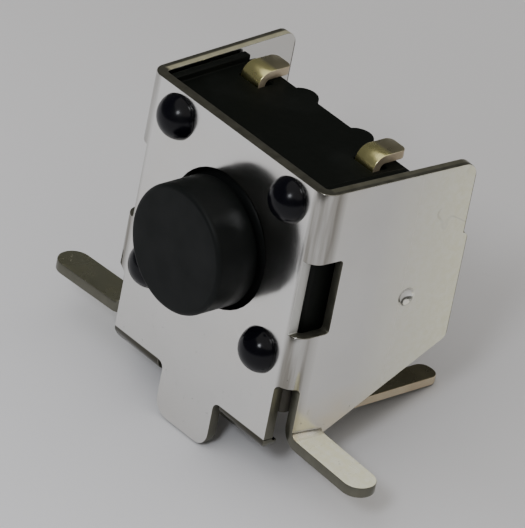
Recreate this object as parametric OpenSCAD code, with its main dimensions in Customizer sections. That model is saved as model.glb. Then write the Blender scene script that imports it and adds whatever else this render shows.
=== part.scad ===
// Tactile push button switch for side pressing: a folded sheet bracket holds a moulded housing by four
// riveted pegs, and a round stem goes through the bracket onto a snap dome over two contact frames.
// Frame: Z up, board surface at z = 0, front face of the bracket at y = 0, the stem points along -Y,
// the middle of the bracket at x = 0. All sizes in mm.

/* [Bracket sheet] */
// Outside width over the two wings
bracket_w = 6.9; // [6.4:0.05:8]
// Height of the bracket above the board
bracket_h = 7.8; // [7.2:0.05:9]
// Sheet thickness
sheet_t = 0.3; // [0.2:0.05:0.4]
// Inside radius of the two vertical folds
fold_in = 0.12; // [0.05:0.01:0.3]
// How far each wing leans out from square, in degrees
flare = 3; // [2:0.5:5]
// Depth of the wings at their top
wing_d = 4.92; // [4.6:0.01:6]
// Extra depth of the wings below the step in their back edge
wing_step = 0.15; // [0.05:0.05:0.4]
// Height of that step
step_z = 5.6; // [4.5:0.1:6.5]
// Height at which the sloping lower edge meets the back edge
wing_rear_z = 2.6; // [1.5:0.1:3.5]
// Height at which the sloping lower edge leaves the leg
wing_front_z = 0.47; // [0.3:0.01:1]
// Corner radius at the top of the back edge
wing_r = 0.4; // [0.1:0.05:0.8]
// Height of the relief slots beside the folds
slot_h = 2.07; // [1.5:0.01:2.6]
// Distance from the outside of a wing to the slot wall in the front plate
slot_in = 0.45; // [0.35:0.05:0.8]
// Corner radius at the top of the slots
slot_r = 0.2; // [0.05:0.05:0.4]

/* [Windows and dimples] */
// Bottom of the windows through the folds
window_z = 3.6; // [2.6:0.05:4.5]
// Height of the windows
window_h = 2.15; // [1:0.05:3]
// How far back the windows reach
window_d = 1.02; // [0.6:0.01:2]
// How far the windows cut into the front plate from the outside of a wing
window_in = 0.36; // [0.3:0.01:0.8]
// Corner radius of the windows
window_r = 0.12; // [0.05:0.01:0.4]
// Height of the dimples punched into the wings
dimple_z = 4.15; // [3:0.05:6]
// Distance of the dimples behind the housing's back
dimple_back = 0.13; // [0.05:0.01:0.6]
// Ball radius of the dimples
dimple_r = 0.3; // [0.2:0.01:0.5]
// How far the dimples stand in from the sheet
dimple_out = 0.15; // [0.1:0.01:0.2]

/* [Legs and tab] */
// Front of the bent legs
leg_y = 0.47; // [0.45:0.01:1]
// Width of the bent legs
leg_w = 0.95; // [0.6:0.05:1.4]
// Length of each leg outside the wing
leg_len = 2.65; // [1.2:0.05:4.5]
// Gap between the board and the underside of the legs
leg_z = 0.33; // [0.1:0.01:0.5]
// Inside radius of the leg bends
leg_in = 0.2; // [0.1:0.05:0.5]
// Width of the tab that goes into the board
tab_w = 2.04; // [1:0.02:3]
// Length of the tab below the board
tab_len = 1.05; // [0.5:0.05:2]
// Corner radius of the tab
tab_r = 0.45; // [0.1:0.05:0.7]
// Radius of the fillets beside the tab
tab_fillet = 0.2; // [0.05:0.05:0.4]
// Inside radius of the rolled lower edge
roll_in = 0.08; // [0.05:0.01:0.2]
// Flat at the end of the rolled lower edge
roll_flat = 0.1; // [0.05:0.01:0.5]

/* [Housing] */
// Gap between the housing and each wing
wing_gap = 0.05; // [0.02:0.01:0.2]
// Depth of the housing behind the front plate
body_d = 2.98; // [2.7:0.01:4]
// Bottom of the housing above the board
body_z = 1.15; // [0.9:0.05:1.9]
// Drop of the housing's top below the top of the bracket
body_drop = 0.26; // [0.24:0.01:0.6]
// Width of the raised cheeks along the housing's sides
cheek_w = 0.24; // [0.1:0.02:0.3]
// Drop of the cheeks below the top of the bracket
cheek_drop = 0.08; // [0.02:0.01:0.2]
// How far the cheeks stop short of the housing's back
cheek_back = 0.28; // [0.1:0.02:1.2]
// Radius of the housing's front vertical edges
body_r = 0.2; // [0.15:0.05:0.4]
// Distance of the back ribs from the middle
rib_x = 1.08; // [0.8:0.02:1.4]
// Radius of the back ribs
rib_r = 0.42; // [0.2:0.02:0.5]
// How far the back ribs stand out
rib_out = 0.3; // [0.1:0.02:0.4]

/* [Pegs] */
// Distance of the pegs from the outside of each wing
peg_side = 1.25; // [1.1:0.05:1.4]
// Distance of the upper pegs from the top of the bracket
peg_top = 0.75; // [0.7:0.05:1]
// Height of the lower pegs above the board
peg_low = 2.65; // [2.5:0.05:2.9]
// Radius of the peg shanks
peg_r = 0.46; // [0.3:0.02:0.6]
// Gap between a shank and its hole
peg_gap = 0.03; // [0.01:0.01:0.1]
// Radius of the riveted heads
head_r = 0.62; // [0.6:0.01:0.8]
// Height of the riveted heads
head_h = 0.5; // [0.2:0.01:0.55]

/* [Stem and dome] */
// Distance of the stem's axis below the middle of the four pegs
axis_drop = 0.17; // [0:0.01:0.3]
// Radius of the stem
stem_r = 1.71; // [1.2:0.01:1.8]
// How far the stem stands out of the front plate
stem_out = 1.4; // [0.6:0.1:6]
// Length of the stem's neck in front of the plate
neck_out = 0.15; // [0.05:0.01:0.3]
// How much thinner the neck is than the stem, on the radius
neck_in = 0.18; // [0.16:0.01:0.3]
// Edge radius of the stem's face
stem_edge = 0.14; // [0.05:0.01:0.3]
// Gap between the stem and its hole in the plate
stem_gap = 0.13; // [0.05:0.01:0.25]
// Lip of the flange that keeps the stem in, past the stem
flange_lip = 0.29; // [0.2:0.01:0.5]
// Thickness of that flange
flange_t = 0.7; // [0.3:0.05:0.8]
// Radius of the pusher behind the flange
pusher_r = 0.7; // [0.4:0.05:1]
// Gap between the flange and the wall of the cavity
cavity_gap = 0.15; // [0.05:0.01:0.2]
// Depth of the cavity
cavity_d = 2.05; // [1.7:0.05:2.2]
// Gap between the rim of the snap dome and the wall of the cavity
dome_gap = 0.2; // [0.1:0.01:0.3]
// Height of the snap dome
dome_h = 0.55; // [0.4:0.01:0.6]
// Thickness of the snap dome
dome_t = 0.1; // [0.06:0.01:0.12]
// Gap between the pusher and the top of the dome
push_gap = 0.02; // [0.01:0.01:0.05]

/* [Contact frames] */
// Distance of the middle of each lead from the housing's side
lead_side = 0.85; // [0.5:0.01:1]
// Width of the leads
lead_w = 0.7; // [0.5:0.02:0.8]
// Thickness of the contact frames
lead_t = 0.24; // [0.15:0.01:0.3]
// How far back the cut upper leads reach
top_end = 3.45; // [3.2:0.05:5]
// How far the upper leads stand above the top of the bracket
lead_rise = 0.1; // [0:0.01:0.3]
// Inside radius of the upper bends
top_in = 0.15; // [0.1:0.01:0.3]
// How far back the lower leads reach
low_end = 6.4; // [3.5:0.1:9]
// Gap between the board and the underside of the lower leads
low_z = 0.19; // [0.05:0.01:0.4]
// Inside radius of the lower bends
low_in = 0.2; // [0.1:0.01:0.5]
// Corner radius at the ends of the lower leads
low_r = 0.3; // [0.05:0.01:0.34]
// Distance of the rim contact's arms from the axis
arm_z = 1.5; // [1.2:0.05:1.6]
// Width of the arms
arm_w = 0.6; // [0.4:0.05:0.8]
// Gap between the rim contact's arms and the other lead
arm_gap = 0.45; // [0.2:0.05:0.6]
// Radius of the centre contact's pad
pad_r = 0.6; // [0.4:0.05:0.7]
// Radius of the raised button on the pad
button_r = 0.4; // [0.3:0.05:0.5]
// Height of that button
button_h = 0.2; // [0.1:0.01:0.25]

/* [Hidden] */
$fn = 64;
half_w = bracket_w / 2;
inner_w = half_w - sheet_t;
fold_out = fold_in + sheet_t;
roll_out = roll_in + sheet_t;
leg_out = leg_in + sheet_t;
cut_y = leg_y - 0.05;
slot_x = half_w - slot_in;
roll_end = slot_x - 0.01;
body_w = inner_w - wing_gap;
body_top = bracket_h - body_drop;
body_back = sheet_t + body_d;
cheek_d = body_d - cheek_back;
leg_reach = half_w + leg_len;
peg_x = half_w - peg_side;
peg_high = bracket_h - peg_top;
axis_z = (peg_low + peg_high) / 2 - axis_drop;
flange_r = stem_r + flange_lip;
cavity_r = flange_r + cavity_gap;
dome_r = cavity_r - dome_gap;
lead_x = body_w - lead_side;
arm_reach = lead_x - lead_w / 2 - arm_gap;
dimple_y = body_back + dimple_back;
floor_y = sheet_t + cavity_d;
lead_top = bracket_h + lead_rise;
dome_ball = (dome_r * dome_r + dome_h * dome_h) / (2 * dome_h);
pusher_end = floor_y - dome_h - push_gap;
lead_back = floor_y + lead_t;
far = 20;

// A flat outline with true arcs at its corners: rs gives each corner's radius.
module rounded(ps, rs) {
  n = len(ps);
  function unit(v) = v / norm(v);
  function a(i) = unit(ps[(i + n - 1) % n] - ps[i]);
  function b(i) = unit(ps[(i + 1) % n] - ps[i]);
  function half(i) = acos(max(-1, min(1, a(i) * b(i)))) / 2;
  function turn(i) = a(i)[0] * b(i)[1] - a(i)[1] * b(i)[0];
  function mid(i) = ps[i] + unit(a(i) + b(i)) * rs[i] / sin(half(i));
  cuts = [for (i = [0 : n - 1]) each rs[i] == 0 ? [ps[i]]
    : [ps[i] + a(i) * rs[i] / tan(half(i)), ps[i] + b(i) * rs[i] / tan(half(i))]];
  difference() {
    union() {
      polygon(cuts);
      for (i = [0 : n - 1]) if (rs[i] > 0 && turn(i) < 0) translate(mid(i)) circle(rs[i]);
    }
    for (i = [0 : n - 1]) if (rs[i] > 0 && turn(i) > 0) translate(mid(i)) circle(rs[i]);
  }
}

// Outlines drawn from the side (Y, Z) or from the front (X, Z), given a length.
module along_x(x, l) translate([x, 0, 0]) rotate([90, 0, 90]) linear_extrude(height = l) children();
module along_y(y, l) translate([0, y + l, 0]) rotate([90, 0, 0]) linear_extrude(height = l) children();
module rod_y(x, y, z, r, l) translate([x, y, z]) rotate([-90, 0, 0]) cylinder(r = r, h = l);
module both() for (m = [0, 1]) mirror([m, 0, 0]) children();
// What belongs to a wing leans out with it, about the outer corner of its fold.
module flared() translate([half_w, 0, 0]) rotate(-flare) translate([-half_w, 0, 0]) children();
module quarter(r, t) intersection() {
  difference() { circle(r + t); circle(r); }
  square(r + t + 1);
}

// The sheet seen from above: front plate, two folds and two wings.
module plan() {
  lean = far * tan(flare);
  inside = half_w + sheet_t * tan(flare) - sheet_t / cos(flare);
  difference() {
    rounded([[-half_w, 0], [half_w, 0], [half_w + lean, far], [-half_w - lean, far]],
      [fold_out, fold_out, 0, 0]);
    translate([0, sheet_t]) rounded([[-inside, 0], [inside, 0], [inside + lean, far],
      [-inside - lean, far]], [fold_in, fold_in, 0, 0]);
  }
}

// Below the legs it ends at cut_y, short of leg_y, so its cut runs into the slots' cut and not along it.
module side_outline() rounded(
  [[-1, -far], [cut_y, -far], [cut_y, leg_z + leg_out],
   [leg_y + leg_w, leg_z + leg_out], [leg_y + leg_w, wing_front_z],
   [wing_d + wing_step, wing_rear_z], [wing_d + wing_step, step_z],
   [wing_d, step_z + wing_step], [wing_d, bracket_h], [-1, bracket_h]],
  [0, 0, 0, 0, 0.03, 0.25, 0.1, 0.1, wing_r, 0]);

module slots() both() flared() intersection() {
  along_y(-1, far) rounded([[slot_x, -far], [far, -far], [far, slot_h], [slot_x, slot_h]],
    [0, 0, 0, slot_r]);
  along_x(0, far) rounded([[-1, -far], [leg_y, -far], [leg_y, slot_h], [-1, slot_h]],
    [0, 0, slot_r, 0]);
}

module windows() both() flared() along_x(half_w - window_in, far) rounded(
  [[-1, window_z], [window_d, window_z], [window_d, window_z + window_h], [-1, window_z + window_h]],
  [0, window_r, window_r, 0]);

module tab_outline() {
  w = tab_w / 2;
  f = w + tab_fillet + 0.1;
  rounded([[f, roll_out + 1], [-f, roll_out + 1], [-f, roll_out], [-w, roll_out], [-w, -tab_len],
    [w, -tab_len], [w, roll_out], [f, roll_out]],
    [0, 0, 0, tab_fillet, tab_r, tab_r, tab_fillet, 0]);
}

// The rolled lower edge on both sides of the tab: a quarter roll and a short flat.
module rolled() both() intersection() {
  along_x(tab_w / 2 + tab_fillet, roll_end - tab_w / 2 - tab_fillet) union() {
    translate([roll_out, roll_out]) rotate(180) quarter(roll_in, sheet_t);
    translate([roll_out, 0]) square([roll_flat, sheet_t]);
  }
  along_y(-1, far) rounded([[0, 0], [roll_end, 0], [roll_end, far], [0, far]], [0, roll_out - 0.02, 0, 0]);
}

module legs() both() flared() {
  translate([0, leg_y, 0]) rotate([90, 0, 0]) translate([half_w + leg_in, leg_z + leg_out, -leg_w])
    linear_extrude(height = leg_w) rotate(180) quarter(leg_in, sheet_t);
  translate([0, 0, leg_z]) linear_extrude(height = sheet_t)
    rounded([[half_w + leg_in, leg_y], [leg_reach, leg_y], [leg_reach, leg_y + leg_w],
      [half_w + leg_in, leg_y + leg_w]], [0, leg_w / 2 - 0.02, leg_w / 2 - 0.02, 0]);
}

module bracket() color([0.72, 0.71, 0.68]) difference() {
  union() {
    difference() {
      translate([0, 0, -far]) linear_extrude(height = far + bracket_h) plan();
      both() flared() along_x(1, far) difference() {
        translate([-2, -2 * far]) square([4 * far, 4 * far]);
        side_outline();
      }
      slots();
      translate([-slot_x - 0.1, -1, -far]) cube([2 * slot_x + 0.2, 1 + sheet_t + 0.1, far + roll_out]);
    }
    along_y(0, sheet_t) tab_outline();
    rolled();
    legs();
    both() flared() intersection() {
      translate([inner_w + dimple_r - dimple_out, dimple_y, dimple_z]) sphere(dimple_r);
      translate([inner_w - 1, dimple_y - 1, dimple_z - 1]) cube([1 + sheet_t / 2, 2, 2]);
    }
  }
  windows();
  both() flared() translate([half_w + dimple_r - dimple_out, dimple_y, dimple_z]) sphere(dimple_r);
  rod_y(0, -1, axis_z, stem_r + stem_gap, 1 + sheet_t + 0.1);
  for (x = [-peg_x, peg_x], z = [peg_low, peg_high]) rod_y(x, -1, z, peg_r + peg_gap, 1 + sheet_t + 0.1);
}

// The head of a peg is a cap of a ball on the front face of the plate.
module peg() {
  ball = (head_r * head_r + head_h * head_h) / (2 * head_h);
  rod_y(0, 0, 0, peg_r, sheet_t + 0.2);
  intersection() {
    translate([0, ball - head_h, 0]) sphere(ball);
    rod_y(0, -head_h - 1, 0, head_r + 1, head_h + 1);
  }
}

module housing() color([0.05, 0.05, 0.05]) difference() {
  union() {
    translate([0, 0, body_z]) linear_extrude(height = body_top - body_z) union() {
      rounded([[-body_w, sheet_t], [body_w, sheet_t], [body_w, body_back], [-body_w, body_back]],
        [body_r, body_r, 0.05, 0.05]);
      for (x = [-rib_x, rib_x]) translate([x, body_back + rib_out - rib_r]) circle(rib_r);
    }
    both() flared() translate([0, 0, body_top - 0.5]) linear_extrude(height = 0.5 + body_drop - cheek_drop)
      rounded([[body_w - cheek_w, sheet_t], [body_w, sheet_t], [body_w, sheet_t + cheek_d],
        [body_w - cheek_w, sheet_t + cheek_d]], [0, cheek_w / 2 - 0.02, 0.05, 0.05]);
    for (x = [-peg_x, peg_x], z = [peg_low, peg_high]) translate([x, 0, z]) peg();
  }
  rod_y(0, sheet_t - 1, axis_z, cavity_r, cavity_d + 1);
  both() {
    lead_box(body_z - 1, body_top + 1);
    translate([lead_x - lead_w / 2 - 0.04, floor_y - 0.04, lead_top - lead_t - top_in - 0.05])
      cube([lead_w + 0.08, lead_t + top_in + 0.08, 1]);
  }
  rim_arms();
  centre_arm();
}

module plunger() color([0.04, 0.04, 0.04]) translate([0, 0, axis_z]) rotate([90, 0, 0])
  rotate_extrude() rounded(
    [[0, -pusher_end], [pusher_r, -pusher_end], [pusher_r, -sheet_t - flange_t],
     [flange_r, -sheet_t - flange_t], [flange_r, -sheet_t], [stem_r - neck_in, -sheet_t],
     [stem_r - neck_in, neck_out], [stem_r, neck_out], [stem_r, stem_out], [0, stem_out]],
    [0, 0.1, 0.1, 0.1, 0.05, 0.05, 0, 0, stem_edge, 0]);

module dome() color([0.75, 0.74, 0.7]) intersection() {
  translate([0, floor_y - dome_h + dome_ball, axis_z]) difference() {
    sphere(dome_ball, $fn = 200);
    sphere(dome_ball - dome_t, $fn = 200);
  }
  rod_y(0, floor_y - dome_h - 1, axis_z, dome_r + 1, dome_h + 1);
}

// One stamped upright at the right-hand side, between two heights.
module lead_box(z0, z1) translate([lead_x - lead_w / 2, floor_y, z0]) cube([lead_w, lead_t, z1 - z0]);

module leads() {
  low_bend = low_z + lead_t + low_in;
  top_bend = lead_top - lead_t - top_in;
  lead_box(low_bend, top_bend);
  along_x(lead_x - lead_w / 2, lead_w) {
    translate([lead_back + low_in, low_bend]) rotate(180) quarter(low_in, lead_t);
    translate([lead_back + top_in, top_bend]) rotate(90) quarter(top_in, lead_t);
  }
  translate([lead_x, 0, low_z]) linear_extrude(height = lead_t)
    rounded([[-lead_w / 2, lead_back + low_in], [lead_w / 2, lead_back + low_in],
      [lead_w / 2, low_end], [-lead_w / 2, low_end]], [0, 0, low_r, low_r]);
  translate([lead_x, 0, lead_top - lead_t]) linear_extrude(height = lead_t)
    rounded([[-lead_w / 2, lead_back + top_in], [lead_w / 2, lead_back + top_in],
      [lead_w / 2, top_end], [-lead_w / 2, top_end]], [0, 0, 0.2, 0.2]);
}

module rim_arms() for (s = [-1, 1])
  translate([-lead_x, floor_y, axis_z + s * arm_z - arm_w / 2]) cube([lead_x + arm_reach, lead_t, arm_w]);

module centre_arm() {
  translate([0, floor_y, axis_z - arm_w / 2]) cube([lead_x, lead_t, arm_w]);
  rod_y(0, floor_y, axis_z, pad_r, lead_t);
}

module rim_contact() color([0.75, 0.65, 0.4]) union() {
  mirror([1, 0, 0]) leads();
  rim_arms();
}

module centre_contact() color([0.75, 0.65, 0.4]) union() {
  leads();
  centre_arm();
  rod_y(0, floor_y - button_h, axis_z, button_r, button_h + lead_t / 2);
}

bracket();
housing();
plunger();
dome();
rim_contact();
centre_contact();
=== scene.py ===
# %% [markdown]
# # A side-pressed tactile push button, finished in Blender
# The switch is a few millimetres of folded plated sheet, black moulded plastic and thin brass.
# The exact solids come from CAD and keep every size. What this lesson adds is what the eye looks for at
# such a small scale: softened edges, sheared edges that lost their plating, riveted heads, rubbed metal.

# %% Load the solids
import math

import bmesh
import bpy
from mathutils import Matrix, Vector


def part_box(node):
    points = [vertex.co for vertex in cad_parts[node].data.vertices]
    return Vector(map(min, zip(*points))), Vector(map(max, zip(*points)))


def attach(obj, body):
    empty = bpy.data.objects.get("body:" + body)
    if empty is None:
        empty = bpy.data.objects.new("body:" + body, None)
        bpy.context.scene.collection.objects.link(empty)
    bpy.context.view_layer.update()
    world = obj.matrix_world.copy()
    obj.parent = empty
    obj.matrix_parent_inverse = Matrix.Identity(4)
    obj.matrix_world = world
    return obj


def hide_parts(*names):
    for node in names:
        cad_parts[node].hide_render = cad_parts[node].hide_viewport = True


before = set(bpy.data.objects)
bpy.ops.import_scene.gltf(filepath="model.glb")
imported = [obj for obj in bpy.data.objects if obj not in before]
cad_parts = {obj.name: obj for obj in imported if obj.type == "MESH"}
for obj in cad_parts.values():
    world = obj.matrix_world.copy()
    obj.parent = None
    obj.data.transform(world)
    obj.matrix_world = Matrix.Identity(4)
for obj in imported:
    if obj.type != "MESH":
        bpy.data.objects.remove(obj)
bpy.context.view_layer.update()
MM = 0.001
print("CAD solids:", sorted(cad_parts))

# %% [markdown]
# ## Sizes read from the solids, and given sizes
# Nothing here is measured again. The top of the bracket and the box of the stem are found in the solids, so
# the stem stays where the drawing has it; the sheet, the half width, the stem radius, the lean and the pegs
# are given.

# %% Read the main sizes
bracket_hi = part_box("bracket")[1]
stem_lo, stem_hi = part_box("plunger")
SHEET = 0.30 * MM
HALF = 3.45 * MM
TOP = bracket_hi.z
STEM_R = 1.71 * MM
LEAN = math.radians(3)
AXIS_Z = (stem_lo.z + stem_hi.z) / 2
PEGS = [(x * MM, z * MM) for x in (-2.2, 2.2) for z in (2.65, 7.05)]
print("bracket top %.2f mm, stem axis %.2f mm" % (TOP / MM, AXIS_Z / MM))

# %% [markdown]
# ## The camera and the resting attitude
# The switch stands on the end of its tab and on the tips of its lower leads, so the table it stands on is
# not square to it: it leans by about eleven and a half degrees. The camera looks down on its front and
# right-hand side through a long lens, as one does with a very small object.

# %% Set up the camera
cam_data = bpy.data.cameras.new("camera")
cam_data.sensor_fit, cam_data.sensor_width = "HORIZONTAL", 36
cam_data.lens = 548.57
cam_data.clip_start, cam_data.clip_end = 0.01, 10
camera = bpy.data.objects.new("camera", cam_data)
bpy.context.scene.collection.objects.link(camera)
right, up = Vector((0.63698, 0.75168, 0.17099)), Vector((-0.48127, 0.21449, 0.84993))
back = right.cross(up).normalized()
camera.matrix_world = Matrix.Translation((0.122246, -0.124798, 0.104643)) @ Matrix(
    (right, up, back)).transposed().to_4x4()
bpy.context.scene.camera = camera
print("camera looks along", [round(-v, 3) for v in back])

# %% [markdown]
# ## Node helpers
# Each finish is a small tree of noise, ramps and one shader. A few helpers keep the trees short: one makes
# a node and sets its inputs, one scales a coordinate, one turns a grey value into a band between limits.

# %% Helpers for finishes
class Finish:
    """A material that is written one node at a time."""

    def __init__(self, name):
        self.mat = bpy.data.materials.new(name)
        self.mat.use_nodes = True
        self.tree = self.mat.node_tree
        self.shader = self.tree.nodes["Principled BSDF"]
        self.place = self.node("ShaderNodeTexCoord").outputs["Object"]

    def node(self, kind, values=(), **settings):
        n = self.tree.nodes.new(kind)
        for key, value in settings.items():
            setattr(n, key, value)
        for key, value in dict(values).items():
            self.link(value, n.inputs[key])
        return n

    def link(self, value, socket):
        if isinstance(value, bpy.types.NodeSocket):
            self.tree.links.new(value, socket)
        else:
            socket.default_value = value

    def noise(self, scale, detail=4, stretch=(1, 1, 1), rough=0.5):
        m = self.node("ShaderNodeMapping", {"Vector": self.place, "Scale": stretch})
        return self.node("ShaderNodeTexNoise", {"Vector": m.outputs[0], "Scale": scale, "Detail": detail,
                                                "Roughness": rough}).outputs["Fac"]

    def band(self, value, low, high, to_low=0.0, to_high=1.0):
        return self.node("ShaderNodeMapRange", {"Value": value, "From Min": low, "From Max": high,
                                                "To Min": to_low, "To Max": to_high}).outputs["Result"]

    def math(self, kind, a, b=0.0):
        return self.node("ShaderNodeMath", {0: a, 1: b}, operation=kind).outputs[0]

    def mix(self, factor, a, b):
        n = self.node("ShaderNodeMix", {"Factor": factor}, data_type="RGBA")
        for value, socket in ((a, n.inputs[6]), (b, n.inputs[7])):
            self.link(value, socket)
        return n.outputs[2]

    def axis(self, name):
        return self.node("ShaderNodeSeparateXYZ", {0: self.place}).outputs[name]

    def bump(self, height, depth, strength=1.0):
        n = self.node("ShaderNodeBump", {"Height": height, "Distance": depth, "Strength": strength})
        self.link(n.outputs[0], self.shader.inputs["Normal"])

    def set(self, **values):
        for key, value in values.items():
            self.link(value, self.shader.inputs[key.replace("_", " ")])
        return self.mat


# %% [markdown]
# ## Tin-plated sheet
# The bracket is stamped from plated strip. The plating is a soft, slightly warm grey that mirrors what is
# near it a little blurred, with cloudy patches, rolling marks and tiny pits. The folds carry painted shade
# in streaks for the dim room they mirror, and the rolled lower edge a painted dark band for the shaded table
# it mirrors. The right leg's top has a painted cream highlight, the left leg a painted olive reflection,
# the legs a painted warm shade in patches, and the wing's rear edge a painted dark line of shade.

# %% Make the plated sheet finish
def plated_sheet():
    f = Finish("plated_sheet")
    x, y, z = f.axis("X"), f.axis("Y"), f.axis("Z")
    side = f.math("ABSOLUTE", x)
    cloud, patch = f.noise(700, 5), f.band(f.noise(330, 3), 0.45, 0.75)
    grain, streaks = f.noise(2600, 3, (1, 1, 0.25)), f.noise(3600, 4, (1, 1, 0.07))
    low = f.band(z, 3.6 * MM, 1.2 * MM, 0.0, 0.05)
    pits = f.band(f.math("ADD", f.noise(6500, 6, rough=0.8), low), 0.685, 0.75)
    fold = f.math("MULTIPLY", f.band(side, 2.98 * MM, 3.12 * MM), f.band(y, 0.75 * MM, 0.45 * MM))
    # Painted shade: a dark band on the rolled lower edge of the front plate, for the shaded table it
    # mirrors.
    painted_roll_shade = f.math("MULTIPLY", f.band(z, 0.415 * MM, 0.385 * MM), f.band(z, -0.08 * MM, -0.05 * MM))
    painted_roll_shade = f.math("MULTIPLY", painted_roll_shade, f.math("MULTIPLY", f.band(side, 1.20 * MM, 1.24 * MM),
                                               f.band(side, 3.04 * MM, 3.0 * MM)))
    leg = f.math("MULTIPLY", f.band(z, 1.9 * MM, 0.6 * MM), f.band(side, 3.40 * MM, 3.55 * MM))
    colour = f.mix(cloud, (0.68, 0.67, 0.645, 1), (0.80, 0.795, 0.775, 1))
    colour = f.mix(f.math("MULTIPLY", patch, 0.3), colour, (0.70, 0.64, 0.55, 1))
    # Painted shade: the folds are darkened in streaks, for the dim room they mirror.
    colour = f.mix(f.math("MULTIPLY", fold, f.band(streaks, 0.38, 0.62, 0.45, 1.0)), colour,
                   (0.27, 0.255, 0.225, 1))
    # Painted highlight: the top of the right leg is painted cream and made less metallic, for the warm light
    # it catches.
    painted_leg_highlight = f.math("MULTIPLY", f.band(x, 3.56 * MM, 3.72 * MM), f.band(z, 0.60 * MM, 0.625 * MM))
    # Painted warm shade: the legs are tinted tan in patches, more towards the bottom.
    colour = f.mix(f.math("MULTIPLY", leg, f.band(f.noise(1400, 4), 0.35, 0.6, 0.25, 0.8)), colour,
                   (0.80, 0.70, 0.46, 1))
    colour = f.mix(painted_leg_highlight, colour, f.mix(f.band(f.noise(5200, 5, rough=0.7), 0.4, 0.62),
                                       (0.92, 0.90, 0.66, 1), (0.98, 0.97, 0.80, 1)))
    # Painted reflection: the left leg is painted olive for the dim room its top mirrors.
    colour = f.mix(f.math("MULTIPLY", f.band(x, -3.4 * MM, -3.7 * MM), 0.8), colour, (0.46, 0.47, 0.34, 1))
    colour = f.mix(f.math("MULTIPLY", pits, 0.8), colour, (0.16, 0.15, 0.13, 1))
    wander = f.math("ABSOLUTE", f.math("SUBTRACT", f.noise(430, 2), 0.53))
    scuff = f.math("MULTIPLY", f.band(wander, 0.006, 0.002), f.band(x, 3.42 * MM, 3.46 * MM))
    scuff = f.math("MULTIPLY", scuff, f.math("MULTIPLY", f.band(y, 2.2 * MM, 2.8 * MM),
                                             f.band(f.noise(900, 2), 0.45, 0.6, 0.0, 0.4)))
    colour = f.mix(scuff, colour, (0.30, 0.29, 0.27, 1))
    # Painted shade: a thin dark line is painted along the wing's rear edge.
    painted_rear_edge_shade = f.math("SUBTRACT", y, f.band(z, 5.68 * MM, 5.72 * MM, 5.023 * MM, 4.873 * MM))
    painted_rear_edge_shade = f.band(painted_rear_edge_shade, 0.0, 0.014 * MM)
    colour = f.mix(f.math("MULTIPLY", painted_rear_edge_shade, 0.85), colour, (0.10, 0.085, 0.07, 1))
    # The painted shade on the rolled lower edge goes on last.
    colour = f.mix(painted_roll_shade, colour, (0.07, 0.066, 0.052, 1))
    rough = f.math("ADD", f.band(cloud, 0.3, 0.7, 0.11, 0.19), f.math("MULTIPLY", pits, 0.3))
    rough = f.math("ADD", rough, f.math("MULTIPLY", leg, 0.12))
    bumps = f.math("ADD", grain, f.math("MULTIPLY", f.math("MULTIPLY", fold, streaks), 1.5))
    f.bump(f.math("ADD", bumps, f.math("MULTIPLY", pits, -2.0)), 0.0000035, 0.6)
    return f.set(Base_Color=colour, Roughness=rough, Metallic=f.band(painted_leg_highlight, 0.0, 1.0, 1.0, 0.25))


plated = plated_sheet()

# %% [markdown]
# ## Sheared edges
# Where the press cut through the strip the steel inside is bare and has gone a brownish olive. Across the
# wings' edges the half that tore, on the outer side, is dark and the other half is burnished and paler. The
# edges on top, those of the front plate and, a little less, those on the right are painted dark too: painted
# shade for the dim room and the shaded table that they mirror.

# %% Make the sheared edge finish
def sheared_edge():
    f = Finish("sheared_edge")
    x, y, z = f.axis("X"), f.axis("Y"), f.axis("Z")
    side = f.math("ABSOLUTE", x)
    across = f.math("SUBTRACT", side, f.math("MULTIPLY", y, math.tan(LEAN)))
    tears = f.noise(3800, 4, (1, 1, 0.4))
    # Painted shade: the front plate's edges and the top edges join the torn half here, painted dark for the
    # shaded table and dim room they mirror.
    torn_and_painted_shade = f.math("MAXIMUM", f.band(across, 3.28 * MM, 3.33 * MM), f.band(y, 0.46 * MM, 0.36 * MM))
    torn_and_painted_shade = f.math("MAXIMUM", torn_and_painted_shade, f.band(z, 6.6 * MM, 6.2 * MM))
    wall = f.math("MULTIPLY", f.band(side, 3.13 * MM, 3.11 * MM), f.band(side, 3.04 * MM, 3.07 * MM))
    wall = f.math("MULTIPLY", wall, f.math("MULTIPLY", f.band(z, 3.5 * MM, 3.6 * MM),
                                           f.band(z, 5.85 * MM, 5.75 * MM)))
    dark = f.mix(tears, (0.09, 0.088, 0.068, 1), (0.20, 0.195, 0.155, 1))
    pale = f.mix(tears, (0.36, 0.34, 0.22, 1), (0.58, 0.55, 0.38, 1))
    # Painted shade: the edges on the right-hand side are painted darker as well.
    torn_and_painted_shade = f.math("MAXIMUM", torn_and_painted_shade, f.math("MULTIPLY", f.band(x, -1 * MM, 1 * MM), 0.8))
    torn_and_painted_shade = f.math("SUBTRACT", torn_and_painted_shade, wall)
    colour = f.mix(wall, f.mix(torn_and_painted_shade, pale, dark), (0.58, 0.58, 0.55, 1))
    f.bump(tears, 0.00001, 0.8)
    return f.set(Base_Color=colour, Roughness=f.band(tears, 0.3, 0.7, 0.28, 0.45),
                 Metallic=f.band(torn_and_painted_shade, 0.0, 1.0, 0.35, 0.85))


sheared = sheared_edge()

# %% [markdown]
# ## From solid to finished piece
# A solid from CAD has edges sharper than any real part. A copy is merged, its flat faces are joined again,
# and every real corner gets a small round with a bevel. The copy then stands for the solid, which is hidden.

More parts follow.
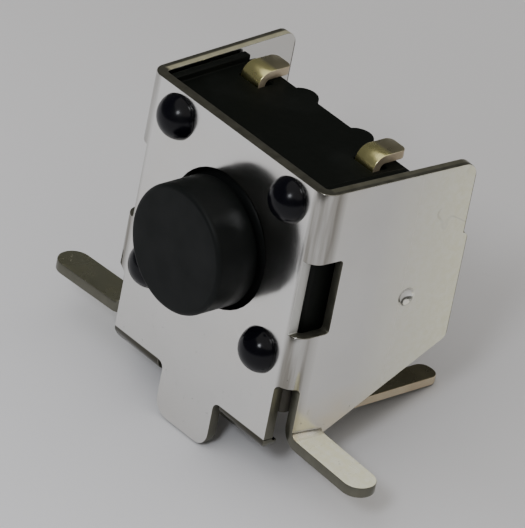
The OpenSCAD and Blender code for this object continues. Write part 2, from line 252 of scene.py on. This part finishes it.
# %% Helper that softens a copy of a solid
def softened(node, name, width, finishes, pick=None, cut=None):
    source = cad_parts[node]
    bm = bmesh.new()
    bm.from_mesh(source.data)
    bmesh.ops.remove_doubles(bm, verts=bm.verts, dist=1e-7)
    if cut:
        cut(bm)
    bmesh.ops.dissolve_limit(bm, angle_limit=math.radians(1.0), verts=bm.verts, edges=bm.edges)
    for face in bm.faces:
        face.smooth = True
        face.material_index = pick(face) if pick else 0
    corners = [e for e in bm.edges if len(e.link_faces) == 2 and e.calc_face_angle(0) > math.radians(32)]
    bmesh.ops.bevel(bm, geom=corners, offset=width, offset_type="OFFSET", segments=2, profile=0.5,
                    affect="EDGES", clamp_overlap=False, material=-1)
    mesh = bpy.data.meshes.new(name)
    bm.to_mesh(mesh)
    bm.free()
    return placed(mesh, name, finishes)


def placed(mesh, name, finishes):
    piece = bpy.data.objects.new(name, mesh)
    bpy.context.scene.collection.objects.link(piece)
    for finish in finishes:
        mesh.materials.append(finish)
    mod = piece.modifiers.new("flat faces stay flat", "WEIGHTED_NORMAL")
    mod.keep_sharp = True
    print(name, len(mesh.polygons), "faces")
    return piece


# %% [markdown]
# ## The bracket
# Front plate, two wings, two bent legs and the board tab are one sheet. A face of the sheet follows the
# sheet's two skins, and any other face was sheared, so each face gets its finish from where it lies.

# %% Build the bracket
FOLD_R = 0.42 * MM
FOLD_X = HALF - 0.399 * MM
DIMPLE_Y, DIMPLE_Z = 3.41 * MM, 4.15 * MM


def upright(v, hinge=0.0):
    """Turns a point or a direction of a leaning wing back as if the wing were square to the plate."""
    x, c, s = v[0] - hinge, math.cos(LEAN), math.sin(LEAN)
    return Vector((hinge + x * c - v[1] * s, x * s + v[1] * c, v[2]))


def sheared_face(face):
    c, n = face.calc_center_median(), face.normal
    if c.x < 0:
        c, n = Vector((-c.x, c.y, c.z)), Vector((-n.x, n.y, n.z))
    wc, wn = upright(c, HALF), upright(n)
    near = 0.02 * MM
    plate = abs(n.y) > 0.99 and (abs(c.y) < near or abs(c.y - SHEET) < near)
    wing = abs(wn.x) > 0.99 and (abs(wc.x - HALF) < near or abs(wc.x - HALF + SHEET) < near)
    spoke = Vector((c.x - FOLD_X, c.y - FOLD_R, 0))
    round_fold = abs(n.z) < 0.1 and abs(n.dot(spoke.normalized())) > 0.95 and (
        abs(spoke.length - FOLD_R) < 0.03 * MM or abs(spoke.length - FOLD_R + SHEET) < 0.03 * MM)
    tip = wc.x > HALF + MM and abs(n.z) < 0.5
    leg = wc.x > HALF - 0.32 * MM and c.z < 1.2 * MM and abs(wn.y) < 0.1 and not tip
    roll = -0.1 * MM < c.z < 0.4 * MM and abs(n.x) < 0.1 and abs(n.z) > 0.1 and c.x < HALF - 0.4 * MM
    dimple = (wc - Vector((wc.x, DIMPLE_Y, DIMPLE_Z))).length < 0.35 * MM
    return 0 if plate or wing or round_fold or leg or roll or dimple else 1


bracket = softened("bracket", "bracket_sheet", 0.022 * MM, [plated, sheared], sheared_face)
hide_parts("bracket")
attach(bracket, "base")

# %% [markdown]
# ## Moulded black plastic
# The housing and the stem are glass-filled nylon. It is almost black, with a satin skin that is finely
# uneven and carries a few dusty, paler streaks. The block's two lower corners are painted paler, as painted
# light bounced up from the table.

# %% Make the plastic finishes
def black_plastic(name, tint, rough_low, rough_high, depth, gloss):
    f = Finish(name)
    skin, dust = f.noise(1500, 5), f.band(f.noise(420, 4, rough=0.6), 0.55, 0.8)
    colour = f.mix(f.math("MULTIPLY", dust, 0.35), tint, (0.016, 0.018, 0.016, 1))
    # Painted light: the lower corners of the block are painted paler, for light bounced up from the table.
    painted_light_corner = f.math("MULTIPLY", f.band(f.axis("Z"), 2.2 * MM, 2.0 * MM),
                    f.band(f.math("ABSOLUTE", f.axis("X")), 2.5 * MM, 2.7 * MM))
    colour = f.mix(painted_light_corner, colour, (0.055, 0.051, 0.042, 1))
    f.bump(skin, depth, 0.5)
    f.shader.inputs["Specular IOR Level"].default_value = gloss
    return f.set(Base_Color=colour, Roughness=f.band(skin, 0.3, 0.7, rough_low, rough_high))


housing_black = black_plastic("housing_black", (0.002, 0.003, 0.002, 1), 0.45, 0.6, 0.00001, 0.14)
stem_black = black_plastic("stem_black", (0.006, 0.007, 0.0068, 1), 0.40, 0.56, 0.000009, 0.13)
rivet_black = black_plastic("rivet_black", (0.002, 0.002, 0.004, 1), 0.14, 0.26, 0.000008, 0.22)

# %% [markdown]
# ## The housing
# The block between the wings keeps its solid's shape with softened corners. The heads of its four pegs are
# taken off the copy, because melted heads are rounder and glossier, and are made on their own below.

# %% Build the housing
def take_heads_off(bm):
    bmesh.ops.bisect_plane(bm, geom=list(bm.verts) + list(bm.edges) + list(bm.faces), dist=1e-8,
                           plane_co=(0, 0.02 * MM, 0), plane_no=(0, -1, 0), clear_outer=True)
    rims = [e for e in bm.edges if e.is_boundary]
    bmesh.ops.holes_fill(bm, edges=rims, sides=0)


housing = softened("housing", "housing_block", 0.035 * MM, [housing_black], cut=take_heads_off)
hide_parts("housing")
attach(housing, "base")

# %% [markdown]
# ## The riveted heads
# Each peg goes through the plate and its end is melted over into a button. A profile is spun about the
# peg's axis: a flat back on the plate, a tucked rim, then a domed crown.

# %% Helper that spins a profile about a line along Y
def turned(name, profile, x, z, finishes, steps=64):
    bm = bmesh.new()
    verts = [bm.verts.new((x + r, y, z)) for r, y in profile]
    edges = [bm.edges.new(pair) for pair in zip(verts, verts[1:])]
    bmesh.ops.spin(bm, geom=verts + edges, cent=(x, 0, z), axis=(0, 1, 0), angle=math.tau, steps=steps,
                   use_merge=True)
    bmesh.ops.remove_doubles(bm, verts=bm.verts, dist=1e-8)
    bmesh.ops.recalc_face_normals(bm, faces=bm.faces)
    for face in bm.faces:
        face.smooth = True
    mesh = bpy.data.meshes.new(name)
    bm.to_mesh(mesh)
    bm.free()
    return placed(mesh, name, finishes)


# %% Build the four heads
def head_profile(radius=0.62 * MM, height=0.5 * MM):
    ball = (radius * radius + height * height) / (2 * height)
    reach = math.asin(radius / ball)
    crown = [(ball * math.sin(reach * i / 12), ball - height - ball * math.cos(reach * i / 12))
             for i in range(13)]
    return [(0, crown[0][1])] + crown[1:] + [(radius * 0.97, 0.012 * MM), (0, 0.012 * MM)]


for number, (x, z) in enumerate(PEGS, 1):
    head = turned("rivet_head_%d" % number, head_profile(), x, z, [rivet_black])
    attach(head, "base")

# %% [markdown]
# ## The stem
# The button itself is a turned shape: a round face with a small edge radius, a straight side, a thinner neck
# where it passes the plate, the flange behind the plate and the pusher that meets the dome.

# %% Build the stem
NECK_R = STEM_R - 0.18 * MM
NECK_FRONT = -0.15 * MM
FLANGE_R, FLANGE_BACK = 2.0 * MM, 1.0 * MM
PUSHER_R = 0.7 * MM


def stem_profile():
    face_y, edge = stem_lo.y, 0.14 * MM
    arc = [(STEM_R - edge + edge * math.sin(a), face_y + edge - edge * math.cos(a))
           for a in [math.radians(9 * i) for i in range(11)]]
    return [(0, face_y), (0.5 * MM, face_y), (1.2 * MM, face_y)] + arc + [
        (STEM_R, -0.7 * MM), (STEM_R, NECK_FRONT - 0.02 * MM), (STEM_R - 0.02 * MM, NECK_FRONT),
        (NECK_R, NECK_FRONT), (NECK_R, SHEET), (FLANGE_R - 0.05 * MM, SHEET),
        (FLANGE_R, SHEET + 0.05 * MM), (FLANGE_R, FLANGE_BACK - 0.08 * MM),
        (FLANGE_R - 0.08 * MM, FLANGE_BACK), (PUSHER_R, FLANGE_BACK),
        (PUSHER_R, stem_hi.y - 0.1 * MM), (PUSHER_R - 0.1 * MM, stem_hi.y), (0, stem_hi.y)]


stem = turned("stem", stem_profile(), 0, AXIS_Z, [stem_black], 96)
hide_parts("plunger")
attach(stem, "button")

# %% [markdown]
# ## Plated brass
# The two contact frames are stamped from plated brass. The skin is a tarnished olive grey and the sheared
# sides show the brass as a tan strip.

# %% Make the brass finishes
def lead_skin():
    f = Finish("lead_skin")
    cloud = f.noise(1600, 4)
    y, z = f.axis("Y"), f.axis("Z")
    # Painted highlight: the upper bend of each lead is painted bright yellow for the warm light it catches.
    painted_bend_highlight = f.math("MULTIPLY", f.band(y, 2.95 * MM, 2.80 * MM), f.band(z, 7.2 * MM, 7.4 * MM))
    low = f.band(z, 1.0 * MM, 0.6 * MM)
    colour = f.mix(cloud, (0.42, 0.39, 0.25, 1), (0.66, 0.60, 0.42, 1))
    colour = f.mix(painted_bend_highlight, colour, (1.0, 0.93, 0.45, 1))
    # The skin is darker towards the bottom, below about 1 mm.
    colour = f.mix(low, colour, (0.22, 0.20, 0.13, 1))
    f.bump(f.noise(2600, 3), 0.000012, 0.8)
    return f.set(Base_Color=colour, Roughness=f.band(cloud, 0.3, 0.7, 0.22, 0.36), Metallic=1.0)


def lead_cut():
    f = Finish("lead_cut")
    cloud = f.noise(2200, 4)
    colour = f.mix(cloud, (0.60, 0.48, 0.33, 1), (0.78, 0.68, 0.50, 1))
    f.bump(cloud, 0.00001, 0.8)
    return f.set(Base_Color=colour, Roughness=0.42, Metallic=0.7)


lead_plating, lead_brass = lead_skin(), lead_cut()

# %% [markdown]
# ## The contact frames
# Each frame runs from the cut end on top of the housing, down behind it, to the lead that lies along the
# board. Its cut sides are the faces that look left and right.

# %% Build the contact frames
def cut_side(face):
    return 1 if abs(face.normal.x) > 0.5 else 0


for node in ("rim_contact", "centre_contact"):
    piece = softened(node, node + "_strip", 0.018 * MM, [lead_plating, lead_brass], cut_side)
    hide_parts(node)
    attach(piece, "base")

# %% [markdown]
# ## The snap dome
# The dome is closed in behind the stem. Its solid is already the right shape, so it only gets a bright
# spring-steel finish.

# %% Finish the dome
def spring_steel():
    f = Finish("spring_steel")
    cloud = f.noise(1200, 4)
    colour = f.mix(cloud, (0.62, 0.61, 0.58, 1), (0.74, 0.73, 0.70, 1))
    return f.set(Base_Color=colour, Roughness=f.band(cloud, 0.3, 0.7, 0.2, 0.32), Metallic=1.0)


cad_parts["dome"].data.materials.clear()
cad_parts["dome"].data.materials.append(spring_steel())

# %% [markdown]
# ## The table
# A pale table, leaning so that the end of the tab and the tips of the lower leads rest on it. It is painted
# lighter at the front and darker at the back as painted light falloff. From underneath it is clear, so it
# never hides the switch from a low camera behind it.

# %% Make the table
def table_finish():
    f = Finish("pale_table")
    cloud = f.noise(60, 4)
    # Painted light: the table is lighter near the front and darker towards the back, as light falls off.
    near = f.mix(cloud, (0.80, 0.80, 0.84, 1), (0.88, 0.88, 0.90, 1))
    far = f.mix(cloud, (0.56, 0.55, 0.55, 1), (0.60, 0.59, 0.59, 1))
    f.set(Base_Color=f.mix(f.band(f.axis("Y"), -11 * MM, 12 * MM), near, far), Roughness=0.7)
    clear = f.node("ShaderNodeBsdfTransparent")
    below = f.node("ShaderNodeNewGeometry").outputs["Backfacing"]
    both = f.node("ShaderNodeMixShader", {0: below, 1: f.shader.outputs[0], 2: clear.outputs[0]})
    f.link(both.outputs[0], f.tree.nodes["Material Output"].inputs["Surface"])
    return f.mat


def table(lean=math.radians(11.5), rest=(0, 0.3 * MM, -1.05 * MM)):
    bm = bmesh.new()
    bmesh.ops.create_grid(bm, x_segments=1, y_segments=1, size=3)
    bmesh.ops.transform(bm, matrix=Matrix.Translation(rest) @ Matrix.Rotation(lean, 4, "X"), verts=bm.verts)
    mesh = bpy.data.meshes.new("table")
    bm.to_mesh(mesh)
    bm.free()
    mesh.materials.append(table_finish())
    obj = bpy.data.objects.new("table", mesh)
    bpy.context.scene.collection.objects.link(obj)
    return obj


table()

# %% [markdown]
# ## The light
# A broad warm light hangs above. A small cool one beside the camera puts a bright dot on each glossy head,
# and a broad one on the front left only softens shadows and isn't mirrored. The room above is dim, so that
# faces that look up are darker than the ones that mirror the table.

# %% Set the lights
def lamp(name, direction, distance, size, power, colour):
    data = bpy.data.lights.new(name, "AREA")
    data.shape, data.size, data.energy, data.color = "DISK", size, power, colour
    obj = bpy.data.objects.new(name, data)
    bpy.context.scene.collection.objects.link(obj)
    way = Vector(direction).normalized()
    obj.matrix_world = Matrix.Translation(way * distance) @ way.to_track_quat("Z", "Y").to_matrix().to_4x4()
    obj.visible_camera = False
    return obj


lamp("ceiling", (0.30, 0.0, 0.95), 0.9, 2.0, 7.2, (1.0, 0.97, 0.92))
lamp("window", (0.305, -0.72, 0.62), 0.6, 0.13, 1.0, (0.92, 0.95, 1.0))
bounce = lamp("bounce", (-0.55, -0.70, 0.62), 0.9, 1.7, 6.8, (0.96, 0.97, 1.0))
bounce.visible_glossy = False
world = bpy.data.worlds.new("room")
world.use_nodes = True
world.node_tree.nodes["Background"].inputs["Color"].default_value = (0.31, 0.31, 0.29, 1)
world.node_tree.nodes["Background"].inputs["Strength"].default_value = 0.3
bpy.context.scene.world = world
print("lights and room ready")
